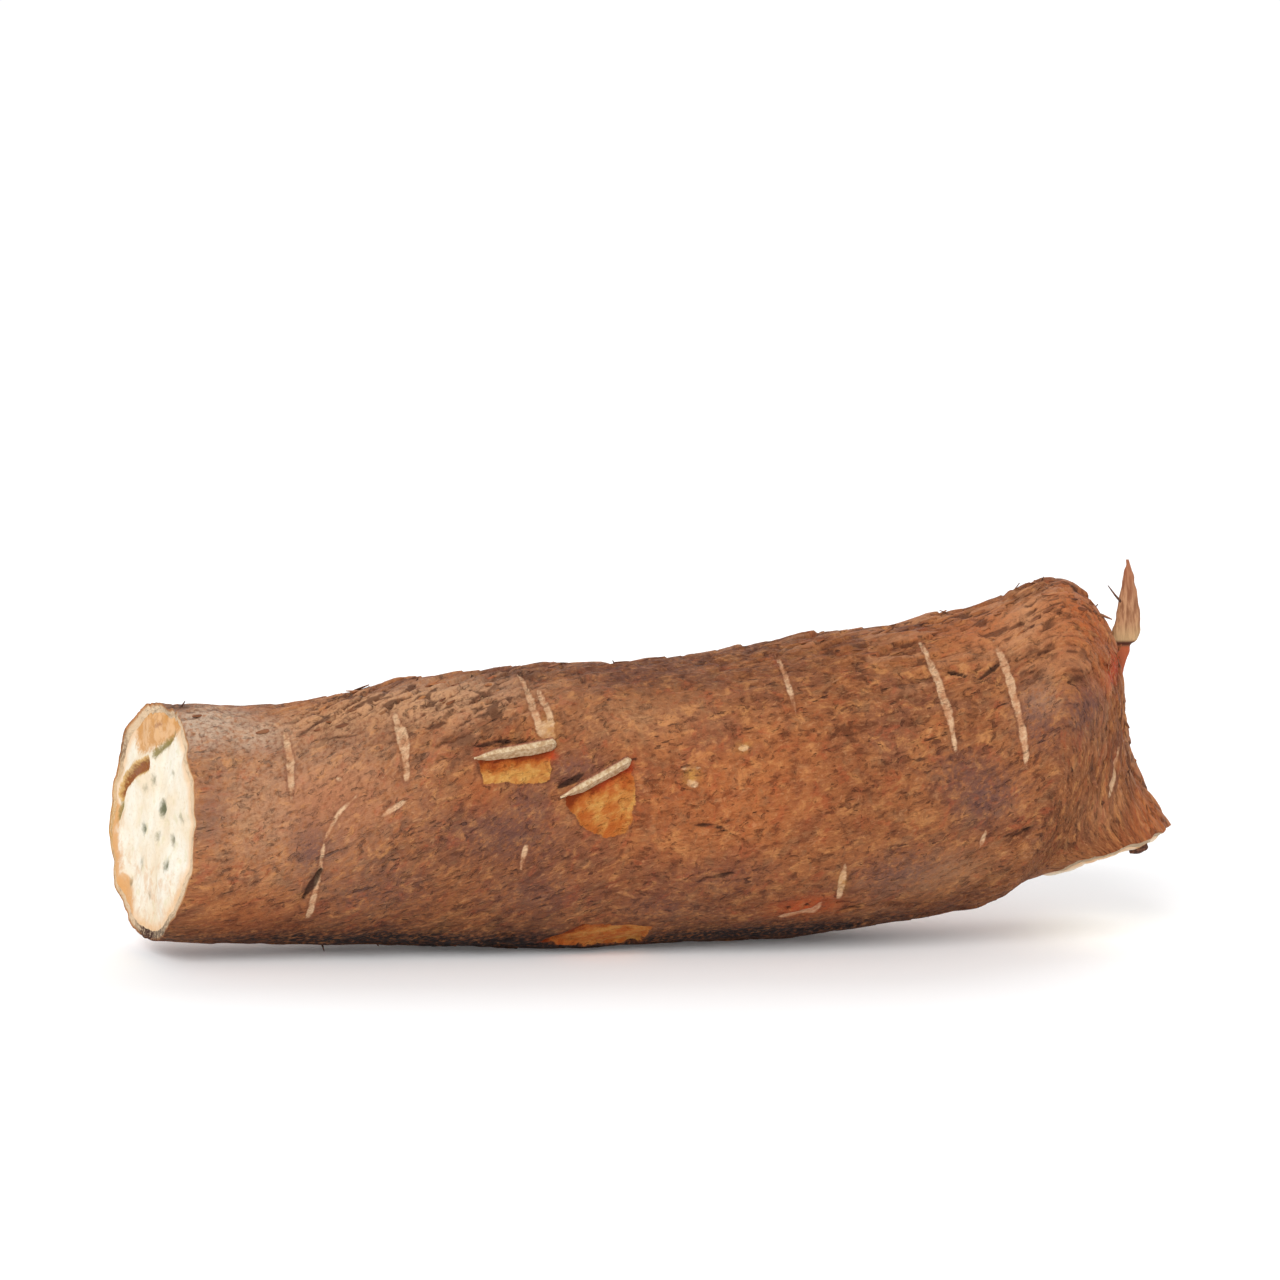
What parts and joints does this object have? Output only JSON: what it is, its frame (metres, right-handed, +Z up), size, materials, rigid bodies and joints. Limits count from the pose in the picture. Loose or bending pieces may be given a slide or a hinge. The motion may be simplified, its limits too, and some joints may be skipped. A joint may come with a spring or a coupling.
{
  "type": "cassava root",
  "caption": "Thick, slightly bowed cassava root with rough brown skin, chopped off at the blunt end and slantwise at the neck, lying on its side.",
  "frame": {"origin": "on the ground, under the middle of the root's box", "axes": "+X along the root from the blunt cut towards the neck, +Y to the back, +Z up"},
  "size_m": [0.2574, 0.0728, 0.0929],
  "materials": {
    "bark": "rough, matt, finely cracked brown skin with paler scars",
    "flesh": "matt, slightly moist cream-white cut flesh with a pale pinkish rind"
  },
  "bodies": {
    "root": {"cassava_root": "bark"}
  },
  "joints": []
}
